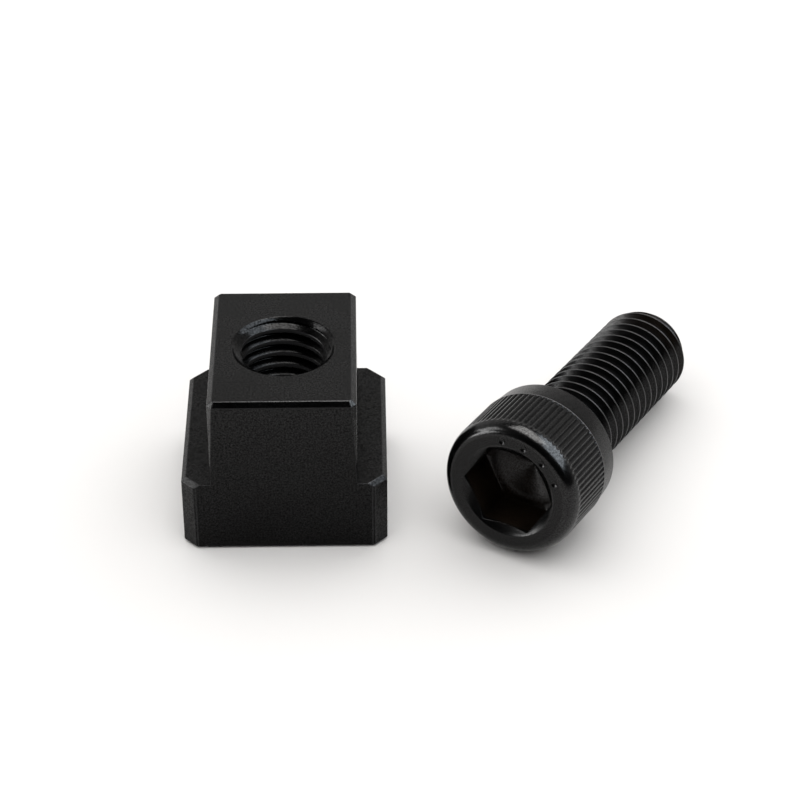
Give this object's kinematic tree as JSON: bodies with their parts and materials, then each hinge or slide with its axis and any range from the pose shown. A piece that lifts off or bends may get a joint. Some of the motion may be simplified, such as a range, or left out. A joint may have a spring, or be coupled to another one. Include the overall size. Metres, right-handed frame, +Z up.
{
  "type": "t-slot nut and cap screw set",
  "caption": "T-slot nut with a tapped through hole and a knurled hex socket head cap screw, the hardware that clamps a tool post to a lathe's slide.",
  "frame": {"origin": "the tapped hole's axis at the nut's base plane", "axes": "+Z up the tapped hole, +X across the slot, +Y along the slot"},
  "size_m": [0.0648, 0.0427, 0.022],
  "materials": {
    "black_oxide_nut": "semi-gloss black oxide",
    "black_oxide_screw": "semi-gloss black oxide"
  },
  "bodies": {
    "nut": {"t_slot_nut": "black_oxide_nut"},
    "screw": {"socket_head_cap_screw": "black_oxide_screw"}
  },
  "joints": [
    {"name": "screw_turn", "type": "hinge", "parent": "nut", "child": "screw", "pos_m": [0.033, -0.0035, 0.00865], "axis": [0.4962, 0.8629, -0.0954], "continuous": true}
  ]
}
